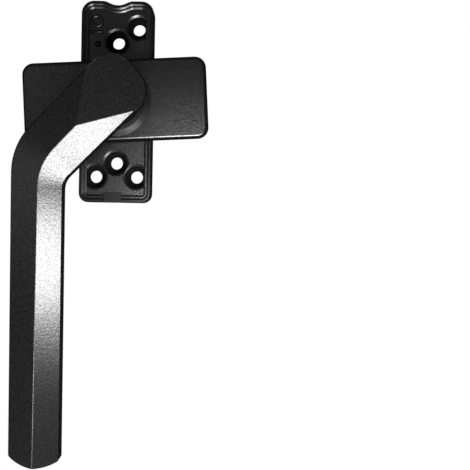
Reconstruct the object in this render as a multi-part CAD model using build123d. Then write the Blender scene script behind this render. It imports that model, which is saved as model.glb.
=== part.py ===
from build123d import *

import math
import os

# Cranked window handle for a left-hand sash, in millimetres.
# The origin lies on the turning axis, on the rear face of the base plate. X points right as seen
# from the room, Z points up and the room is on the -Y side. A height is a distance from the rear
# face towards the room.

# Base plate
plate_length = 71.2
plate_width = 25.5
plate_depth = 8.0
plate_top_corner = 4.4
plate_bottom_corner = 3.3
plate_edge_chamfer = 0.4
rim_width = 1.6
rim_step = 0.8
ledge_width = 1.1
floor_recess = 1.8
rim_bevel_width = 0.6
rim_bevel_depth = 0.25
plate_wall = 2.2
plate_web = 2.2
notch_width = 9.2
notch_depth = 2.0
notch_shoulder = 4.0
notch_valley = 6.0
slot_width = 6.7
slot_offset = -1.0
slot_sink = 1.2

# Screw holes
fixing_spacing = 43.0
corner_hole_spacing_x = 14.6
corner_hole_spacing_z = 52.8
screw_hole = 4.4
screw_head = 7.8
screw_head_sink = 1.6
screw_mouth_width = 0.8
screw_mouth_depth = 0.35
boss_wall = 1.4

# Cover cap, turned off the plate to show the screws
cover_length = 64.3
cover_width = 28.6
cover_depth = 4.2
cover_wall = 1.4
cover_roof = 1.6
cover_corner = 4.0
cover_edge_round = 1.3
cover_turn = 3.4
cover_lift = 0.05
sleeve_wall = 1.8
sleeve_gap = 0.3

# Lever in plan
lever_reach = 124.0
grip_offset = 23.2
grip_lean = 0.4
ridge_lean = -0.25
tip_lean = 0.75
grip_inner_half = 7.9
grip_outer_half = 9.5
grip_outer_taper = 0.55
crank_angle = 43.0
ridge_offset = 0.8
crank_inner_half = 9.3
crank_outer_half = 11.6
head_inner_half = 10.4
head_inner_reach = 10.9
head_outer_reach = 14.2
tip_radius = 14.5
tip_corner = 1.5
inner_bend_radius = 6.5
ridge_bend_radius = 17.5
outer_bend_radius = 22.0
head_inner_round = 8.1
head_outer_round = 7.5

# Lever in section
ridge_height = 31.0
lever_thickness = 10.4
inner_slope = 23.5
outer_slope = 19.5
facet_start = 15.1
facet_slope = 14.1
back_bevel = 1.2
crease_round = 0.8
edge_bevel = 0.35
smooth_angle = 5.0
wall_tilt = 30.0

# Neck, journal and stub
neck_gap = 0.3
neck_base_radius = 12.5
neck_shoulder_radius = 10.5
neck_shoulder_rise = 1.1
neck_waist_radius = 9.2
neck_waist_rise = 2.5
neck_top_radius = 8.8
collar_radius = 10.0
journal_radius = 8.0
stub_radius = 6.5
stub_flats = 11.2
stub_end = 0.1
groove_depth = 0.8
groove_width = 0.7
running_fit = 0.06

# Bush
bush_wall = 1.5
bush_flange_radius = 9.8
bush_flange = 1.2
press_gap = 0.03

# Detent
pocket_depth = 3.6
cam_size = 15.0
cam_corner = 4.6
cam_thickness = 2.0
cam_gap = 0.3
cam_fit = 0.05
spring_thickness = 0.5
spring_width = 1.9
spring_length = 23.6
spring_gap = 0.1
spring_swing = 1.7
pocket_length = 19.2
seat_gap = 0.05

# Retaining ring
ring_thickness = 0.6
ring_width = 2.0
ring_mouth = 5.0
ring_gap = 0.05

# Spindle
spindle_size = 7.0
spindle_fit = 0.05
spindle_projection = 35.0
spindle_depth = 16.0
spindle_chamfer = 0.8

# Margins for overlong cuts and for picking faces and edges by height
cut_margin = 1.0
pick_margin = 0.01

# Heights that follow from the sizes above
floor_height = plate_depth - floor_recess
cover_rear = plate_depth + cover_lift
cover_front = cover_rear + cover_depth
neck_base_height = cover_front + neck_gap
lever_back = ridge_height - lever_thickness
bush_top = floor_height + bush_flange
groove_rear = stub_end + groove_width / 2
groove_front = groove_rear + groove_width
cam_front = pocket_depth - cam_gap
cam_rear = cam_front - cam_thickness
stub_front = pocket_depth - cam_gap / 2


def at(height):
    """Plane parallel to the plate, facing the room, at a height above the rear face."""
    return Plane.XZ.offset(height)


def prism(outline, low, high):
    """Solid that fills an outline, drawn in X and Z, between two heights."""
    return extrude(at(low) * outline, amount=high - low)


def edges_at(body, height):
    """Edges that lie at one height above the rear face."""
    return body.edges().filter_by_position(Axis.Y, -height - pick_margin, -height + pick_margin)


def disc(radius, low, high):
    """Round solid about the turning axis between two heights."""
    return prism(Circle(radius), low, high)


def turned(profile):
    """Solid of revolution about the turning axis, from points of radius and height."""
    points = [(radius, -height) for radius, height in profile]
    return revolve(make_face(Polyline(*points, close=True)), Axis.Y)


def along_crank(distance, side):
    """Plan point at a distance along the crank from the axis, and to the inner side of its ridge."""
    angle = math.radians(crank_angle)
    across = side - ridge_offset
    x = distance * math.sin(angle) + across * math.cos(angle)
    z = distance * math.cos(angle) - across * math.sin(angle)
    return x, z


def crank_point_at_x(x, side):
    """Plan point where a line along the crank, at one side of its ridge, reaches an X."""
    angle = math.radians(crank_angle)
    distance = (x - (side - ridge_offset) * math.cos(angle)) / math.sin(angle)
    return along_crank(distance, side)


def lever_outline():
    """Plan outline of grip, crank and head."""
    inner_x = grip_inner_half - grip_offset
    outer_x = -grip_offset - grip_outer_half
    end_z = -lever_reach - tip_radius
    corners = [
        ((outer_x + grip_lean + grip_outer_taper, end_z), tip_corner),
        ((inner_x + grip_lean, end_z), tip_corner),
        (crank_point_at_x(inner_x, crank_inner_half), inner_bend_radius),
        (along_crank(head_inner_reach, head_inner_half), head_inner_round),
        (along_crank(head_outer_reach, -crank_outer_half), head_outer_round),
        (crank_point_at_x(outer_x, -crank_outer_half), outer_bend_radius),
    ]
    points = [point for point, radius in corners]
    radii = [radius for point, radius in corners]
    body = make_face(FilletPolyline(*points, radius=radii, close=True))
    tip_middle = Pos(tip_lean - grip_offset, tip_radius - lever_reach)
    above_tip = Pos(0, lever_reach) * Rectangle(2 * lever_reach, 2 * lever_reach)
    outline = body & (tip_middle * (Circle(tip_radius) + above_tip))
    return fillet(outline.vertices().sort_by(Axis.Y)[:2], tip_corner)


def roof():
    """Ridged form that follows grip, bend and crank, wider than the lever everywhere."""
    inner_reach = ridge_bend_radius - cut_margin
    outer_reach = 2 * crank_outer_half
    inner_drop = inner_reach * math.tan(math.radians(inner_slope))
    outer_drop = outer_reach * math.tan(math.radians(outer_slope))
    start = (ridge_lean - grip_offset, -lever_reach - cut_margin)
    bend = crank_point_at_x(-grip_offset, 0)
    end = along_crank(head_outer_reach + outer_reach, 0)
    path = Plane.XZ * FilletPolyline(start, bend, end, radius=ridge_bend_radius)
    across = Plane(origin=path @ 0, x_dir=Vector(0, 1, 0).cross(path % 0), z_dir=path % 0)
    section = make_face(
        Polyline(
            (0, -ridge_height),
            (inner_reach, inner_drop - ridge_height),
            (inner_reach, 0),
            (-outer_reach, 0),
            (-outer_reach, outer_drop - ridge_height),
            close=True,
        )
    )
    return sweep(across * section, path=path)


def head_cut():
    """Space in front of the inclined facet that ends the ridge over the head."""
    slope = math.radians(facet_slope)
    angle = math.radians(crank_angle)
    x, z = along_crank(-facet_start, 0)
    normal = (
        math.sin(slope) * math.sin(angle),
        -math.cos(slope),
        math.sin(slope) * math.cos(angle),
    )
    facet = Plane(origin=(x, -ridge_height, z), x_dir=(math.cos(angle), 0, -math.sin(angle)), z_dir=normal)
    reach = 2 * (facet_start + head_outer_reach)
    return extrude(facet * Rectangle(reach, 2 * reach), amount=ridge_height)


def sharp_edges(solid, walled):
    """Edges in front of the back bevel where two faces meet at an angle, at a side wall or not."""
    found = []
    faces = [(face, face.edges()) for face in solid.faces()]
    for edge in solid.edges():
        middle = edge @ 0.5
        normals = [face.normal_at(middle) for face, edges in faces if edge in edges]
        sharp = normals[0].get_angle(normals[-1]) > smooth_angle
        at_wall = any(abs(normal.Y) < math.sin(math.radians(wall_tilt)) for normal in normals)
        if sharp and at_wall == walled and middle.Y < -lever_back - back_bevel:
            found.append(edge)
    return found


def lever_arm():
    """Grip, crank and head with their softened edges."""
    blank = prism(lever_outline(), lever_back, ridge_height + cut_margin)
    blank = chamfer(edges_at(blank, lever_back), back_bevel)
    arm = (blank & roof()) - head_cut()
    arm = fillet(sharp_edges(arm, walled=False), crease_round)
    return chamfer(sharp_edges(arm, walled=True), edge_bevel)


def lever_neck():
    """Flared neck, collar, journal and stub, turned about the axis."""
    body = turned(
        [
            (0, lever_back + back_bevel),
            (neck_top_radius, lever_back + back_bevel),
            (neck_waist_radius, neck_base_height + neck_waist_rise),
            (neck_shoulder_radius, neck_base_height + neck_shoulder_rise),
            (neck_base_radius, neck_base_height),
            (collar_radius, neck_base_height),
            (collar_radius, bush_top),
            (journal_radius, bush_top),
            (journal_radius, stub_front),
            (stub_radius, stub_front),
            (stub_radius, groove_front),
            (stub_radius - groove_depth, groove_front),
            (stub_radius - groove_depth, groove_rear),
            (stub_radius, groove_rear),
            (stub_radius, stub_end),
            (0, stub_end),
        ]
    )
    for side in (1, -1):
        flat = Pos(side * (stub_flats + stub_radius) / 2, 0) * Rectangle(stub_radius, 2 * stub_radius)
        body -= prism(flat, groove_front, stub_front)
    return body


def make_lever():
    """Lever casting with the square socket for the spindle."""
    socket = Rectangle(spindle_size + 2 * spindle_fit, spindle_size + 2 * spindle_fit)
    return lever_arm() + lever_neck() - prism(socket, 0, spindle_depth + spindle_fit)


def plate_outline():
    """Plate outline with the wave notch in its upper end."""
    x = plate_width / 2
    z = plate_length / 2
    corners = [
        ((-x, -z), plate_bottom_corner),
        ((x, -z), plate_bottom_corner),
        ((x, z), plate_top_corner),
        ((notch_width / 2, z), notch_shoulder),
        ((0, z - notch_depth), notch_valley),
        ((-notch_width / 2, z), notch_shoulder),
        ((-x, z), plate_top_corner),
    ]
    points = [point for point, radius in corners]
    radii = [radius for point, radius in corners]
    return make_face(FilletPolyline(*points, radius=radii, close=True))


def screw_places():
    """Plan places of the two fixing holes on the axis and the three corner holes."""
    x = corner_hole_spacing_x / 2
    z = corner_hole_spacing_z / 2
    return [(0, fixing_spacing / 2), (0, -fixing_spacing / 2), (x, z), (-x, -z), (x, -z)]


def screw_cut(floor):
    """Through hole with a sunk countersink, kept inside the floor's outline."""
    head_radius = screw_head / 2
    hole_radius = screw_hole / 2
    cone_top = floor_height - screw_head_sink
    cut = turned(
        [
            (0, floor_height),
            (head_radius + screw_mouth_width, floor_height),
            (head_radius, floor_height - screw_mouth_depth),
            (head_radius, cone_top),
            (hole_radius, cone_top - head_radius + hole_radius),
            (hole_radius, 0),
            (0, 0),
        ]
    )
    return [(Pos(x, 0, z) * cut) & prism(floor, 0, plate_depth) for x, z in screw_places()]


def detent_pocket():
    """Rear pocket for the cam, with four slots that seat the ends of the leaf springs."""
    swing = cam_size / 2 + spring_gap + spring_thickness + spring_swing
    pocket = prism(Rectangle(2 * swing, pocket_length), 0, pocket_depth)
    seat_width = spring_thickness + 2 * seat_gap
    seat_x = cam_size / 2 + spring_gap + spring_thickness / 2
    seat = Rectangle(seat_width, spring_length + 2 * seat_gap)
    for side in (1, -1):
        pocket += prism(Pos(side * seat_x, 0) * seat, 0, pocket_depth)
    return pocket


def rear_hollow(outline):
    """Cored-out rear of the casting, round the screw bosses and the detent housing."""
    hollow_top = floor_height - plate_web
    hollow = prism(offset(outline, amount=-plate_wall), 0, hollow_top)
    housing = Rectangle(plate_width, spring_length + 2 * seat_gap + 2 * boss_wall)
    hollow -= prism(housing, 0, hollow_top)
    for x, z in screw_places():
        hollow -= prism(Pos(x, z) * Circle(screw_head / 2 + boss_wall), 0, hollow_top)
    return hollow


def bevel_inner_edge(body, height):
    """Bevel the inner edge of the ring-shaped face at a height, wider than it is deep."""
    ring = body.faces().filter_by_position(Axis.Y, -height - pick_margin, -height + pick_margin)[0]
    return body.chamfer(rim_bevel_width, rim_bevel_depth, ring.inner_wires()[0].edges(), ring)


def make_base_plate():
    """Stepped tray with screw holes, bush bore and rear detent pocket."""
    outline = plate_outline()
    ledge = offset(outline, amount=-rim_width)
    floor = offset(outline, amount=-rim_width - ledge_width)
    body = prism(outline, 0, plate_depth)
    body = chamfer(edges_at(body, plate_depth), plate_edge_chamfer)
    body -= prism(ledge, plate_depth - rim_step, plate_depth)
    body -= prism(floor, floor_height, plate_depth)
    body = bevel_inner_edge(body, plate_depth)
    body = bevel_inner_edge(body, plate_depth - rim_step)
    body -= rear_hollow(outline)
    slot_reach = 2 * (rim_width + ledge_width + cut_margin)
    slot = Pos(slot_offset, -plate_length / 2) * Rectangle(slot_width, slot_reach)
    body -= prism(slot, floor_height - slot_sink, plate_depth)
    for cut in screw_cut(floor):
        body -= cut
    body -= detent_pocket()
    body -= disc(journal_radius + running_fit + bush_wall + press_gap, 0, plate_depth)
    return body


def make_cover_cap():
    """Shallow lid with a guide sleeve round the neck, turned aside from the plate."""
    outer = RectangleRounded(cover_length, cover_width, cover_corner)
    inner = RectangleRounded(
        cover_length - 2 * cover_wall, cover_width - 2 * cover_wall, cover_corner - cover_wall
    )
    body = prism(outer, cover_rear, cover_front)
    body = fillet(edges_at(body, cover_front), cover_edge_round)
    body -= prism(inner, cover_rear, cover_front - cover_roof)
    hole_radius = collar_radius + running_fit
    body += disc(hole_radius + sleeve_wall, cover_rear + sleeve_gap, cover_front - cover_roof)
    body -= disc(hole_radius, 0, cover_front)
    return Rot(0, -cover_turn, 0) * body


def make_neck_bush():
    """Flanged plastic bush between the plate and the lever's journal."""
    bore = journal_radius + running_fit
    sleeve = bore + bush_wall
    return turned(
        [
            (bore, pocket_depth),
            (sleeve, pocket_depth),
            (sleeve, floor_height),
            (bush_flange_radius, floor_height),
            (bush_flange_radius, bush_top),
            (bore, bush_top),
        ]
    )


def make_detent_cam():
    """Square cam with rounded corners, driven by the flats of the stub."""
    bore = Circle(stub_radius + cam_fit) & Rectangle(stub_flats + 2 * cam_fit, 4 * stub_radius)
    return prism(RectangleRounded(cam_size, cam_size, cam_corner) - bore, cam_rear, cam_front)


def make_detent_spring(side):
    """Flat leaf spring that lies along one flat of the cam."""
    x = side * (cam_size / 2 + spring_gap + spring_thickness / 2)
    middle = (cam_rear + cam_front) / 2
    strip = Pos(x, 0) * Rectangle(spring_thickness, spring_length)
    return prism(strip, middle - spring_width / 2, middle + spring_width / 2)


def make_retaining_ring():
    """Open ring that snaps into the groove of the stub."""
    inner = stub_radius - groove_depth + ring_gap
    mouth = Pos(0, -inner - ring_width) * Rectangle(ring_mouth, 2 * (inner + ring_width) - inner)
    middle = (groove_rear + groove_front) / 2
    ring = Circle(inner + ring_width) - Circle(inner) - mouth
    return prism(ring, middle - ring_thickness / 2, middle + ring_thickness / 2)


def make_square_spindle():
    """Square bar from the socket in the neck to the lock gear behind the plate."""
    bar = prism(Rectangle(spindle_size, spindle_size), -spindle_projection, spindle_depth)
    return chamfer(edges_at(bar, -spindle_projection), spindle_chamfer)


def main():
    """Build every piece and write it as its own file."""
    pieces = {
        "lever": make_lever(),
        "base_plate": make_base_plate(),
        "cover_cap": make_cover_cap(),
        "neck_bush": make_neck_bush(),
        "detent_cam": make_detent_cam(),
        "detent_spring_left": make_detent_spring(-1),
        "detent_spring_right": make_detent_spring(1),
        "retaining_ring": make_retaining_ring(),
        "square_spindle": make_square_spindle(),
    }
    os.makedirs("parts", exist_ok=True)
    for name, shape in pieces.items():
        export_step(shape, f"parts/{name}.step")


main()
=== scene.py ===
"""Cranked window handle: its finishes, casting marks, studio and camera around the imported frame."""
import logging
import math
from dataclasses import dataclass
from enum import Enum
from typing import Any, Callable

import bpy
from mathutils import Matrix, Vector


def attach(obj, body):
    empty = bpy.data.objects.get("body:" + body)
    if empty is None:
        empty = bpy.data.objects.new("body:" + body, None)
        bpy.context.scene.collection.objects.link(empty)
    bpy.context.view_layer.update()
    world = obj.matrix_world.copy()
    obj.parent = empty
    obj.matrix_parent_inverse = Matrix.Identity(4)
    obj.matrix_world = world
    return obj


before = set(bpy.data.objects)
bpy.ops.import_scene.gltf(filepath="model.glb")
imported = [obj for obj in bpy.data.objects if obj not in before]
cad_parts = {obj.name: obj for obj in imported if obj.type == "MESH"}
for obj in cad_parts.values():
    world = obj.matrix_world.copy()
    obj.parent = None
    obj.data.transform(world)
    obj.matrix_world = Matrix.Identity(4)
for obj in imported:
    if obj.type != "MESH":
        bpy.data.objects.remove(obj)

LOG = logging.getLogger("window_handle")
MM = 0.001
# Sockets of a Mix node that mixes colours.
MIX_FIRST = 6
MIX_SECOND = 7
MIX_RESULT = 2
# Turns a new primitive so that its own Z points at the room.
TOWARDS_ROOM = (math.radians(90), 0.0, 0.0)

Colour = tuple[float, float, float, float]
Pair = tuple[float, float]
Triple = tuple[float, float, float]


class Body(Enum):
    """Bodies of the frame that a piece can ride on."""

    BASE = "base"
    HANDLE = "handle"
    COVER = "cover"


class Pick(Enum):
    """What edit mode selects."""

    VERTEX = "VERT"
    EDGE = "EDGE"
    FACE = "FACE"


def linear(hex_code: str) -> Colour:
    """Turn an sRGB hex colour into a linear one.

    Args:
        hex_code: Colour as "#rrggbb".

    Returns:
        Linear red, green, blue and an alpha of one.
    """
    channels = [int(hex_code[start : start + 2], 16) / 255 for start in (1, 3, 5)]
    red, green, blue = (
        value / 12.92 if value <= 0.04045 else ((value + 0.055) / 1.055) ** 2.4 for value in channels
    )
    return red, green, blue, 1.0


def pitch(size_mm: float) -> float:
    """Texture scale that gives a pattern its real size.

    Args:
        size_mm: Size of one feature of the pattern.

    Returns:
        Features in a metre.
    """
    return 1 / (size_mm * MM)


def add_node(
    tree: bpy.types.NodeTree, kind: str, inputs: dict[Any, Any], **settings: Any
) -> bpy.types.Node:
    """Add one shader node with its settings, constants and links.

    Args:
        tree: Node tree that receives the node.
        kind: Type name of the node.
        inputs: Socket name or number, with a constant or the output socket that feeds it.
        **settings: Properties of the node.

    Returns:
        The new node.
    """
    node = tree.nodes.new(kind)
    for name, value in settings.items():
        setattr(node, name, value)
    for socket, source in inputs.items():
        if isinstance(source, bpy.types.NodeSocket):
            tree.links.new(source, node.inputs[socket])
        else:
            node.inputs[socket].default_value = source
    return node


def empty_material(name: str) -> bpy.types.Material:
    """New material with an empty node tree.

    Args:
        name: Name of the material.

    Returns:
        The material.
    """
    material = bpy.data.materials.new(name)
    material.use_nodes = True
    material.node_tree.nodes.clear()
    return material


def close_material(material: bpy.types.Material, surface: bpy.types.Node) -> bpy.types.Material:
    """Link a finished shader to the material's output.

    Args:
        material: Material that is being built.
        surface: Its last shader node.

    Returns:
        The same material.
    """
    add_node(material.node_tree, "ShaderNodeOutputMaterial", {"Surface": surface.outputs[0]})
    return material


@dataclass(frozen=True)
class PowderCoat:
    """Polyester powder coat, sprayed and baked on a die casting.

    The film is black and satin, and shrinks to a fine grain as it cures. Single grains flash where
    light strikes them. Edges and walls are duller than the faces that were sprayed straight on. Flat
    faces towards the room in a recess and on a crest get painted shade: a darker colour and less gloss.
    """

    name: str
    relief_mm: float
    sparkle: Pair
    colour: str = "#131314"
    pale: str = "#202021"
    # Near-black that the colour goes towards where shade is painted, on flat faces in a recess and on a
    # crest.
    painted_shade_colour: str = "#0b0b0c"
    grain_mm: float = 0.7
    fine_mm: float = 0.42
    rough: float = 0.27
    ior: float = 1.75
    gloss: float = 0.5
    gloss_fade: Pair = (0.15, 0.34)
    # Heights from the sash outside which flat faces towards the room get painted shade, and the share
    # of colour and gloss that the painted shade leaves.
    unshaded_heights_mm: Pair = (0.0, 0.0)
    painted_shade_keeps: float = 1.0
    fine_share: float = 0.35
    tone_range: Pair = (0.38, 0.72)
    flash_range: Pair = (0.3, 0.7)
    flat_limit: float = 0.9

    def build(self) -> bpy.types.Material:
        """Build the coat's material.

        Returns:
            The finished material.
        """
        material = empty_material(self.name)
        tree = material.node_tree
        place = add_node(tree, "ShaderNodeTexCoord", {})
        # The real grain is 0.1 to 0.2 mm, finer than a pixel, so it is drawn coarse enough to show.
        grain = add_node(
            tree,
            "ShaderNodeTexNoise",
            {"Vector": place.outputs["Object"], "Scale": pitch(self.grain_mm), "Detail": 1.0},
        )
        fine = add_node(
            tree,
            "ShaderNodeTexNoise",
            {"Vector": place.outputs["Object"], "Scale": pitch(self.fine_mm), "Detail": 0.0},
        )
        height = add_node(
            tree,
            "ShaderNodeMath",
            {0: fine.outputs["Fac"], 1: self.fine_share, 2: grain.outputs["Fac"]},
            operation="MULTIPLY_ADD",
        )
        bump = add_node(
            tree,
            "ShaderNodeBump",
            {"Strength": 1.0, "Distance": self.relief_mm * MM, "Height": height.outputs[0]},
        )
        tone = add_node(
            tree,
            "ShaderNodeMapRange",
            {
                "Value": grain.outputs["Fac"],
                "From Min": self.tone_range[0],
                "From Max": self.tone_range[1],
            },
        )
        film = add_node(
            tree,
            "ShaderNodeMix",
            {
                "Factor": tone.outputs[0],
                MIX_FIRST: linear(self.colour),
                MIX_SECOND: linear(self.pale),
            },
            data_type="RGBA",
        )
        way = add_node(tree, "ShaderNodeSeparateXYZ", {0: place.outputs["Normal"]})
        # Painted shade: one on most faces, less on flat faces towards the room in a recess and on a
        # crest.
        cover = self.painted_shade_mask(tree, place, way)
        colour = add_node(
            tree,
            "ShaderNodeMix",
            {"Factor": cover, MIX_FIRST: linear(self.painted_shade_colour), MIX_SECOND: film.outputs[MIX_RESULT]},
            data_type="RGBA",
        )
        facing = add_node(tree, "ShaderNodeLayerWeight", {"Blend": 0.5})
        front = add_node(tree, "ShaderNodeMath", {0: way.outputs["Y"]}, operation="ABSOLUTE")
        aside = add_node(tree, "ShaderNodeMath", {0: 1.0, 1: front.outputs[0]}, operation="SUBTRACT")
        edge = add_node(
            tree,
            "ShaderNodeMath",
            {0: facing.outputs["Facing"], 1: aside.outputs[0]},
            operation="MINIMUM",
        )
        faded = add_node(
            tree,
            "ShaderNodeMapRange",
            {
                "Value": edge.outputs[0],
                "From Min": self.gloss_fade[0],
                "From Max": self.gloss_fade[1],
                "To Min": self.gloss,
                "To Max": 0.0,
            },
        )
        flash = add_node(
            tree,
            "ShaderNodeMapRange",
            {
                "Value": fine.outputs["Fac"],
                "From Min": self.flash_range[0],
                "From Max": self.flash_range[1],
                "To Min": self.sparkle[0],
                "To Max": self.sparkle[1],
            },
        )
        # The painted shade lowers the gloss as well as the colour.
        even = add_node(tree, "ShaderNodeMath", {0: faded.outputs[0], 1: cover}, operation="MULTIPLY")
        gloss = add_node(
            tree, "ShaderNodeMath", {0: even.outputs[0], 1: flash.outputs[0]}, operation="MULTIPLY"
        )
        shader = add_node(
            tree,
            "ShaderNodeBsdfPrincipled",
            {
                "Base Color": colour.outputs[MIX_RESULT],
                "Roughness": self.rough,
                "IOR": self.ior,
                "Specular IOR Level": gloss.outputs[0],
                "Normal": bump.outputs[0],
            },
        )
        return close_material(material, shader)

    def painted_shade_mask(
        self, tree: bpy.types.NodeTree, place: bpy.types.Node, way: bpy.types.Node
    ) -> bpy.types.NodeSocket:
        """Painted shade: a darker colour and less gloss on flat faces towards the room in a recess and
        on a crest.

        Args:
            tree: Node tree of the coat.
            place: Its texture coordinate node.
            way: The parts of its surface normal.

        Returns:
            Socket with one on other faces and less where shade is painted.
        """
        where = add_node(tree, "ShaderNodeSeparateXYZ", {0: place.outputs["Object"]})
        low, high = (level * MM for level in self.unshaded_heights_mm)
        middle = add_node(
            tree,
            "ShaderNodeMath",
            {0: where.outputs["Y"], 1: -(low + high) / 2, 2: (high - low) / 2},
            operation="COMPARE",
        )
        turned = add_node(
            tree, "ShaderNodeMath", {0: way.outputs["Y"], 1: -self.flat_limit}, operation="GREATER_THAN"
        )
        unshaded = add_node(
            tree, "ShaderNodeMath", {0: middle.outputs[0], 1: turned.outputs[0]}, operation="MAXIMUM"
        )
        # The painted shade leaves at least this share of the coat's colour and gloss.
        film = add_node(
            tree, "ShaderNodeMath", {0: unshaded.outputs[0], 1: self.painted_shade_keeps}, operation="MAXIMUM"
        )
        return film.outputs[0]


@dataclass(frozen=True)
class PlatedSteel:
    """Steel with a thin plated or heat-blued skin.

    Drawn or rolled along one axis, so faint streaks run that way, with cloudy patches in the plating.
    """

    name: str
    colour: str
    shade: str
    streak: Triple
    streak_mm: float = 0.35
    cloud_mm: float = 5.0
    smooth: float = 0.26
    rough: float = 0.44
    relief_mm: float = 0.006

    def build(self) -> bpy.types.Material:
        """Build the metal's material.

        Returns:
            The finished material.
        """
        material = empty_material(self.name)
        tree = material.node_tree
        place = add_node(tree, "ShaderNodeTexCoord", {}).outputs["Object"]
        drawn = add_node(tree, "ShaderNodeMapping", {"Vector": place, "Scale": self.streak})
        streaks = add_node(
            tree,
            "ShaderNodeTexNoise",
            {"Vector": drawn.outputs[0], "Scale": pitch(self.streak_mm), "Detail": 3.0},
        )
        cloud = add_node(
            tree,
            "ShaderNodeTexNoise",
            {"Vector": place, "Scale": pitch(self.cloud_mm), "Detail": 3.0},
        )
        colour = add_node(
            tree,
            "ShaderNodeMix",
            {
                "Factor": cloud.outputs["Fac"],
                MIX_FIRST: linear(self.colour),
                MIX_SECOND: linear(self.shade),
            },
            data_type="RGBA",
        )
        roughness = add_node(
            tree,
            "ShaderNodeMapRange",
            {"Value": streaks.outputs["Fac"], "To Min": self.smooth, "To Max": self.rough},
        )
        bump = add_node(
            tree,
            "ShaderNodeBump",
            {"Strength": 1.0, "Distance": self.relief_mm * MM, "Height": streaks.outputs["Fac"]},
        )
        shader = add_node(
            tree,
            "ShaderNodeBsdfPrincipled",
            {
                "Base Color": colour.outputs[MIX_RESULT],
                "Metallic": 1.0,
                "Roughness": roughness.outputs[0],
                "Normal": bump.outputs[0],
            },
        )
        return close_material(material, shader)


@dataclass(frozen=True)
class MouldedAcetal:
    """Injection-moulded acetal, a waxy bearing plastic with a fine spark-eroded skin."""

    name: str
    colour: str = "#3a3a3b"
    pale: str = "#48484a"
    grain_mm: float = 0.4
    relief_mm: float = 0.012
    smooth: float = 0.42
    rough: float = 0.55
    ior: float = 1.48

    def build(self) -> bpy.types.Material:
        """Build the plastic's material.

        Returns:
            The finished material.
        """
        material = empty_material(self.name)
        tree = material.node_tree
        place = add_node(tree, "ShaderNodeTexCoord", {}).outputs["Object"]
        grain = add_node(
            tree,
            "ShaderNodeTexNoise",
            {"Vector": place, "Scale": pitch(self.grain_mm), "Detail": 2.0},
        )
        colour = add_node(
            tree,
            "ShaderNodeMix",
            {
                "Factor": grain.outputs["Fac"],
                MIX_FIRST: linear(self.colour),
                MIX_SECOND: linear(self.pale),
            },
            data_type="RGBA",
        )
        roughness = add_node(
            tree,
            "ShaderNodeMapRange",
            {"Value": grain.outputs["Fac"], "To Min": self.smooth, "To Max": self.rough},
        )
        bump = add_node(
            tree,
            "ShaderNodeBump",
            {"Strength": 1.0, "Distance": self.relief_mm * MM, "Height": grain.outputs["Fac"]},
        )
        shader = add_node(
            tree,
            "ShaderNodeBsdfPrincipled",
            {
                "Base Color": colour.outputs[MIX_RESULT],
                "Roughness": roughness.outputs[0],
                "IOR": self.ior,
                "Normal": bump.outputs[0],
            },
        )
        return close_material(material, shader)


@dataclass(frozen=True)
class StudioPaper:
    """Matt studio paper, white where it is looked at or mirrored and pale for the light it returns."""

    name: str
    colour: str = "#e9e9e8"
    glowing: bool = False

    def build(self) -> bpy.types.Material:
        """Build the paper's material.

        Returns:
            The finished material.
        """
        material = empty_material(self.name)
        tree = material.node_tree
        matt = add_node(tree, "ShaderNodeBsdfDiffuse", {"Color": linear(self.colour)})
        if not self.glowing:
            return close_material(material, matt)
        path = add_node(tree, "ShaderNodeLightPath", {})
        seen = add_node(
            tree,
            "ShaderNodeMath",
            {0: path.outputs["Is Camera Ray"], 1: path.outputs["Is Glossy Ray"]},
            operation="MAXIMUM",
        )
        shown = add_node(
            tree,
            "ShaderNodeMath",
            {0: seen.outputs[0], 1: path.outputs["Is Transmission Ray"]},
            operation="MAXIMUM",
        )
        white = add_node(tree, "ShaderNodeEmission", {"Strength": 1.0})
        mixed = add_node(
            tree,
            "ShaderNodeMixShader",
            {0: shown.outputs[0], 1: matt.outputs[0], 2: white.outputs[0]},
        )
        return close_material(material, mixed)


def finish_nodes(body: Body, nodes: tuple[str, ...], material: bpy.types.Material) -> None:
    """Give CAD nodes a finish through their own material slots.

    Args:
        body: Body that carries the nodes.
        nodes: Names of the nodes.
        material: Finish that they get.
    """
    for name in nodes:
        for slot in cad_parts[name].material_slots:
            slot.material = material
        LOG.info("dressed %s of the %s with %s", name, body.value, material.name)


@dataclass
class LeverAssembly:
    """Lever casting with the detent cam, ring and spindle that turn with it."""

    coat: PowderCoat = PowderCoat(
        "lever_powder_coat",
        colour="#101011",
        pale="#232324",
        relief_mm=0.03,
        sparkle=(0.75, 1.25),
    )
    cam: PlatedSteel = PlatedSteel("cam_zinc_plate", "#b9babb", "#8f9092", (1.0, 1.0, 0.1))
    ring: PlatedSteel = PlatedSteel("ring_phosphate", "#4a4a4c", "#2e2e30", (1.0, 1.0, 1.0))
    bar: PlatedSteel = PlatedSteel(
        "spindle_zinc_plate", "#b6b8ba", "#808386", (1.0, 0.06, 1.0), rough=0.5, relief_mm=0.015
    )

    def dress(self) -> None:
        """Finish every node of the lever."""
        finish_nodes(Body.HANDLE, ("lever",), self.coat.build())
        finish_nodes(Body.HANDLE, ("detent_cam",), self.cam.build())
        finish_nodes(Body.HANDLE, ("retaining_ring",), self.ring.build())
        finish_nodes(Body.HANDLE, ("square_spindle",), self.bar.build())


@dataclass
class CoverAssembly:
    """Cover cap that turns on the neck."""

    coat: PowderCoat = PowderCoat(
        "cover_powder_coat",
        colour="#0e0e0f",
        pale="#1a1a1b",
        relief_mm=0.017,
        rough=0.22,
        gloss_fade=(0.03, 0.18),
        sparkle=(0.45, 1.55),
    )

    def dress(self) -> None:
        """Finish the cap."""
        finish_nodes(Body.COVER, ("cover_cap",), self.coat.build())


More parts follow.
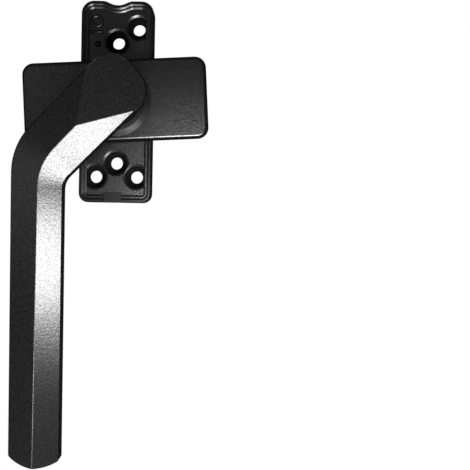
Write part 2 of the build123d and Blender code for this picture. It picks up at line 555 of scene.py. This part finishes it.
def start_edit(kind: Pick) -> None:
    """Enter edit mode on the active object with nothing selected.

    Args:
        kind: What is selected there.
    """
    bpy.ops.object.mode_set(mode="EDIT")
    bpy.ops.mesh.select_mode(type=kind.value)
    bpy.ops.mesh.select_all(action="DESELECT")


def select_faces(
    piece: bpy.types.Object, wanted: Callable[[bpy.types.MeshPolygon], bool]
) -> None:
    """Select only some faces of a piece in edit mode.

    Args:
        piece: The active object, in edit mode.
        wanted: Test that a face has to pass.
    """
    start_edit(Pick.FACE)
    bpy.ops.object.mode_set(mode="OBJECT")
    for polygon in piece.data.polygons:
        polygon.select = wanted(polygon)
    bpy.ops.object.mode_set(mode="EDIT")


def new_piece(name: str) -> bpy.types.Object:
    """Name the primitive that was just added and put its place into its mesh.

    Args:
        name: Name of the piece.

    Returns:
        The primitive's object.
    """
    piece = bpy.context.object
    piece.name = name
    bpy.ops.object.transform_apply(location=True, rotation=True, scale=True)
    return piece


@dataclass
class BaseAssembly:
    """Base plate with its bush, its leaf springs and the marks cast on its floor.

    Sizes are in millimetres and angles in degrees. The marks stand in the upper left corner, each at
    an X and a Z, with their feet sunk a little in the floor.
    """

    floor: float = 6.2
    sunk: float = 0.1
    relief: float = 0.6
    soft_edge: float = 0.5
    soft_steps: int = 3
    smooth_angle: float = 40.0
    ring_place: Pair = (-7.4, 28.6)
    ring_radius: float = 2.35
    ring_width: float = 1.1
    ring_sides: int = 48
    bar_place: Pair = (-7.4, 24.9)
    bar_size: Pair = (4.4, 1.15)
    dome_place: Pair = (-7.0, 20.6)
    dome_radius: float = 1.1
    dome_relief: float = 1.2
    dome_sides: int = 32
    dome_rings: int = 15
    coat: PowderCoat = PowderCoat(
        "plate_powder_coat",
        relief_mm=0.016,
        rough=0.25,
        gloss=0.46,
        gloss_fade=(0.03, 0.14),
        sparkle=(0.6, 1.4),
        # Painted shade on flat faces towards the room below 5.8 mm and above 7.9 mm: the recess floors
        # and the rim's crest.
        unshaded_heights_mm=(5.8, 7.9),
        painted_shade_keeps=0.5,
    )
    bush: MouldedAcetal = MouldedAcetal("bush_acetal")
    leaf: PlatedSteel = PlatedSteel("leaf_spring_steel", "#6a6d76", "#474a52", (1.0, 1.0, 0.08))

    def on_floor(self, place: Pair, height: float) -> Vector:
        """Point over the plate's floor.

        Args:
            place: Its X and Z.
            height: Its height over the floor.

        Returns:
            The point in metres.
        """
        return Vector((place[0], -self.floor - height, place[1])) * MM

    def build_ring(self) -> bpy.types.Object:
        """Model the ring mark from a disc, by inset, extrusion and a bevel.

        Returns:
            The finished mesh.
        """
        bpy.ops.object.select_all(action="DESELECT")
        bpy.ops.mesh.primitive_circle_add(
            vertices=self.ring_sides,
            radius=self.ring_radius * MM,
            fill_type="NGON",
            location=self.on_floor(self.ring_place, -self.sunk),
            rotation=TOWARDS_ROOM,
        )
        ring = new_piece("cast_ring_mark")
        start_edit(Pick.FACE)
        bpy.ops.mesh.select_all(action="SELECT")
        bpy.ops.mesh.inset(thickness=self.ring_width * MM)
        bpy.ops.mesh.delete(type="FACE")
        bpy.ops.mesh.select_all(action="SELECT")
        self.raise_and_soften(ring)
        return ring

    def build_bar(self) -> bpy.types.Object:
        """Model the bar mark from a plane, by extrusion and a bevel.

        Returns:
            The finished mesh.
        """
        bpy.ops.object.select_all(action="DESELECT")
        bpy.ops.mesh.primitive_plane_add(
            size=MM,
            location=self.on_floor(self.bar_place, -self.sunk),
            rotation=TOWARDS_ROOM,
        )
        bpy.context.object.scale = (*self.bar_size, 1.0)
        bar = new_piece("cast_bar_mark")
        start_edit(Pick.FACE)
        bpy.ops.mesh.select_all(action="SELECT")
        self.raise_and_soften(bar)
        return bar

    def raise_and_soften(self, piece: bpy.types.Object) -> None:
        """Extrude the selected flat faces towards the room and bevel their upper edges.

        Args:
            piece: The active object, in edit mode.
        """
        rise = (self.sunk + self.relief) * MM
        bpy.ops.mesh.extrude_region_move(TRANSFORM_OT_translate={"value": (0.0, -rise, 0.0)})
        top = -(self.floor + self.relief) * MM
        select_faces(piece, lambda face: abs(face.center.y - top) < self.sunk * MM / 2)
        bpy.ops.mesh.region_to_loop()
        bpy.ops.mesh.bevel(offset=self.soft_edge * MM, segments=self.soft_steps, affect="EDGES")
        bpy.ops.mesh.select_all(action="SELECT")
        bpy.ops.mesh.normals_make_consistent(inside=False)
        bpy.ops.object.mode_set(mode="OBJECT")
        bpy.ops.object.shade_smooth_by_angle(angle=math.radians(self.smooth_angle))

    def build_dome(self) -> bpy.types.Object:
        """Model the dome mark from a ball, cut just below the floor and stretched to its height.

        Returns:
            The finished mesh.
        """
        bpy.ops.object.select_all(action="DESELECT")
        middle = self.on_floor(self.dome_place, -self.sunk)
        # An odd number of rings leaves none in the plane of the cut.
        bpy.ops.mesh.primitive_uv_sphere_add(
            segments=self.dome_sides,
            ring_count=self.dome_rings,
            radius=self.dome_radius * MM,
            location=middle,
            rotation=TOWARDS_ROOM,
        )
        dome = new_piece("cast_dome_mark")
        start_edit(Pick.VERTEX)
        bpy.ops.mesh.select_all(action="SELECT")
        bpy.ops.mesh.bisect(plane_co=middle, plane_no=(0.0, 1.0, 0.0), clear_outer=True, use_fill=True)
        bpy.ops.mesh.select_all(action="SELECT")
        stretch = (self.sunk + self.dome_relief) / self.dome_radius
        bpy.ops.transform.resize(value=(1.0, stretch, 1.0), center_override=middle)
        bpy.ops.object.mode_set(mode="OBJECT")
        bpy.ops.object.shade_smooth_by_angle(angle=math.radians(self.smooth_angle))
        return dome

    def build(self) -> None:
        """Build the marks, fasten them to the plate and give both the plate's coat."""
        coat = self.coat.build()
        for mark in (self.build_ring(), self.build_bar(), self.build_dome()):
            mark.data.materials.append(coat)
            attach(mark, Body.BASE.value)
            LOG.info("built %s", mark.name)
        finish_nodes(Body.BASE, ("base_plate",), coat)

    def dress(self) -> None:
        """Finish the other nodes of the base."""
        finish_nodes(Body.BASE, ("neck_bush",), self.bush.build())
        finish_nodes(Body.BASE, ("detent_spring_left", "detent_spring_right"), self.leaf.build())


@dataclass
class Softbox:
    """One soft rectangular lamp, aimed at a point. Sizes and places are in millimetres."""

    name: str
    place: Triple
    aim: Triple
    size: Pair
    radiance: float

    def build(self) -> bpy.types.Object:
        """Place the lamp.

        Returns:
            The lamp object.
        """
        data = bpy.data.lights.new(self.name, "AREA")
        data.shape = "RECTANGLE"
        data.size, data.size_y = (side * MM for side in self.size)
        # An area lamp sends out pi times its radiance from each square metre.
        data.energy = self.radiance * math.pi * data.size * data.size_y
        lamp = bpy.data.objects.new(self.name, data)
        lamp.visible_camera = False
        place = Vector(self.place) * MM
        lamp.location = place
        lamp.rotation_euler = (Vector(self.aim) * MM - place).to_track_quat("-Z", "Y").to_euler()
        bpy.context.scene.collection.objects.link(lamp)
        return lamp


@dataclass
class Studio:
    """Floor, backdrop, lamps and the dim room around them.

    Sizes are in millimetres and angles in degrees.
    """

    floor_height: float = -420.0
    backdrop_depth: float = 1000.0
    backdrop_top: float = 1500.0
    half_width: float = 1600.0
    front: float = -1800.0
    cove: float = 260.0
    cove_steps: int = 24
    smooth_angle: float = 30.0
    tolerance: float = 1.0
    key_depth: float = -108.0
    rear_place: Triple = (500.0, 700.0, 450.0)
    rear_aim: Triple = (0.0, 0.0, -40.0)
    rear_size: Pair = (400.0, 400.0)
    rear_radiance: float = 5.0
    room_colour: str = "#ffffff"
    room_strength: float = 0.058

    def build_paper(self) -> bpy.types.Object:
        """Model the paper sweep from a plane.

        Returns:
            The sweep.
        """
        bpy.ops.object.select_all(action="DESELECT")
        depth = self.backdrop_depth - self.front
        bpy.ops.mesh.primitive_plane_add(size=1.0, location=(0.0, 0.0, 0.0))
        paper = bpy.context.object
        paper.name = "paper_sweep"
        paper.scale = (2 * self.half_width * MM, depth * MM, 1.0)
        paper.location = (0.0, (self.front + depth / 2) * MM, self.floor_height * MM)
        bpy.ops.object.transform_apply(location=True, rotation=True, scale=True)
        self.select_rear_edge(paper)
        rise = (self.backdrop_top - self.floor_height) * MM
        bpy.ops.mesh.extrude_region_move(TRANSFORM_OT_translate={"value": (0.0, 0.0, rise)})
        bpy.ops.object.mode_set(mode="OBJECT")
        self.select_rear_edge(paper)
        bpy.ops.mesh.bevel(offset=self.cove * MM, segments=self.cove_steps, affect="EDGES")
        bpy.ops.object.mode_set(mode="OBJECT")
        bpy.ops.object.shade_smooth_by_angle(angle=math.radians(self.smooth_angle))
        paper.data.materials.append(StudioPaper("floor_paper").build())
        paper.data.materials.append(StudioPaper("backdrop_paper", glowing=True).build())
        flat_top = (self.floor_height + self.tolerance) * MM
        for polygon in paper.data.polygons:
            polygon.material_index = int(polygon.center.z > flat_top)
        return paper

    def select_rear_edge(self, paper: bpy.types.Object) -> None:
        """Enter edit mode with only the floor's rear edge selected.

        Args:
            paper: The sweep that is being modelled.
        """
        start_edit(Pick.EDGE)
        bpy.ops.object.mode_set(mode="OBJECT")
        limit = self.tolerance * MM
        for edge in paper.data.edges:
            ends = [paper.data.vertices[index].co for index in edge.vertices]
            at_rear = all(abs(end.y - self.backdrop_depth * MM) < limit for end in ends)
            at_floor = all(abs(end.z - self.floor_height * MM) < limit for end in ends)
            edge.select = at_rear and at_floor
        bpy.ops.object.mode_set(mode="EDIT")

    def key_panel(self, name: str, centre: Pair, size: Pair, radiance: float) -> Softbox:
        """Panel of the key light, which stands in one plane in front of the handle.

        Args:
            name: Name of the panel.
            centre: Its X and Z.
            size: Its width and height.
            radiance: Its brightness.

        Returns:
            The panel, aimed straight at the sash.
        """
        x, z = centre
        return Softbox(name, (x, self.key_depth, z), (x, 0.0, z), size, radiance)

    def rear_panel(self, name: str, side: float) -> Softbox:
        """Panel behind the sash.

        Args:
            name: Name of the panel.
            side: Minus one on the left and one on the right.

        Returns:
            The panel, aimed at the middle of the handle.
        """
        x, y, z = self.rear_place
        return Softbox(name, (side * x, y, z), self.rear_aim, self.rear_size, self.rear_radiance)

    def build_lamps(self) -> None:
        """Place the lamps."""
        lamps = (
            self.key_panel("key_left", centre=(17.5, -60.0), size=(25.0, 46.0), radiance=14.8),
            self.key_panel("key_middle", centre=(37.0, -60.0), size=(14.0, 46.0), radiance=18.0),
            self.key_panel("key_right", centre=(52.0, -61.5), size=(16.0, 43.0), radiance=22.2),
            self.key_panel("key_below", centre=(50.0, -91.0), size=(24.0, 16.0), radiance=2.6),
            Softbox(
                "eye_fill",
                place=(20.0, -365.0, -5.0),
                aim=(20.0, 0.0, -5.0),
                size=(50.0, 30.0),
                radiance=6.3,
            ),
            Softbox(
                "low_fill",
                place=(32.0, -380.0, -165.0),
                aim=(0.0, 0.0, -90.0),
                size=(60.0, 80.0),
                radiance=22.0,
            ),
            Softbox(
                "upper_left_fill",
                place=(-110.0, -360.0, 45.0),
                aim=(0.0, 0.0, 0.0),
                size=(100.0, 110.0),
                radiance=0.22,
            ),
            Softbox(
                "side_fill",
                place=(-260.0, -230.0, 20.0),
                aim=(-25.0, -25.0, -30.0),
                size=(160.0, 160.0),
                radiance=0.3,
            ),
            Softbox(
                "top_fill",
                place=(30.0, -300.0, 150.0),
                aim=(0.0, 0.0, 0.0),
                size=(120.0, 60.0),
                radiance=0.09,
            ),
            Softbox(
                "sky_panel",
                place=(0.0, 350.0, 800.0),
                aim=(0.0, 350.0, 0.0),
                size=(1200.0, 900.0),
                radiance=2.0,
            ),
            self.rear_panel("rear_left", side=-1.0),
            self.rear_panel("rear_right", side=1.0),
        )
        for lamp in lamps:
            lamp.build()
            LOG.info("placed lamp %s", lamp.name)

    def build_room(self) -> None:
        """Give the room around the stage its dim even light."""
        world = bpy.data.worlds.new("dim_room")
        world.use_nodes = True
        tree = world.node_tree
        tree.nodes.clear()
        light = add_node(
            tree,
            "ShaderNodeBackground",
            {"Color": linear(self.room_colour), "Strength": self.room_strength},
        )
        add_node(tree, "ShaderNodeOutputWorld", {"Surface": light.outputs[0]})
        bpy.context.scene.world = world

    def build(self) -> None:
        """Build the whole studio."""
        self.build_paper()
        self.build_lamps()
        self.build_room()


@dataclass
class Shot:
    """Camera of the picture. Lengths are in millimetres and picture places in pixels."""

    frame_px: float = 470.0
    sensor: float = 36.0
    distance: float = 350.0
    px_per_mm: float = 2.77
    axis_px: Pair = (118.0, 103.7)
    view_centre_px: Pair = (215.0, 208.0)
    roll_deg: float = 1.0

    def build(self) -> bpy.types.Object:
        """Place the camera straight in front of the plate, with the picture's framing.

        Returns:
            The camera object.
        """
        roll = math.radians(self.roll_deg)
        right = Vector((math.cos(roll), 0.0, math.sin(roll)))
        up = Vector((-math.sin(roll), 0.0, math.cos(roll)))
        back = Vector((0.0, -1.0, 0.0))
        across = (self.view_centre_px[0] - self.axis_px[0]) / self.px_per_mm
        down = (self.view_centre_px[1] - self.axis_px[1]) / self.px_per_mm
        data = bpy.data.cameras.new("main_camera")
        data.sensor_fit = "HORIZONTAL"
        data.sensor_width = self.sensor
        data.lens = self.distance * self.px_per_mm / self.frame_px * self.sensor
        middle = (self.frame_px - 1) / 2
        data.shift_x = (middle - self.view_centre_px[0]) / self.frame_px
        data.shift_y = (self.view_centre_px[1] - middle) / self.frame_px
        camera = bpy.data.objects.new("main_camera", data)
        place = (right * across - up * down + back * self.distance) * MM
        turn = Matrix((right, up, back)).transposed().to_4x4()
        camera.matrix_world = Matrix.Translation(place) @ turn
        bpy.context.scene.collection.objects.link(camera)
        bpy.context.scene.camera = camera
        return camera


def main() -> None:
    """Dress the frame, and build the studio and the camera."""
    logging.basicConfig(level=logging.INFO, format="%(message)s")
    bpy.context.scene.view_settings.view_transform = "Standard"
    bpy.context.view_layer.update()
    base = BaseAssembly()
    base.build()
    for assembly in (base, CoverAssembly(), LeverAssembly()):
        assembly.dress()
    Studio().build()
    Shot().build()


if __name__ == "__main__":
    main()
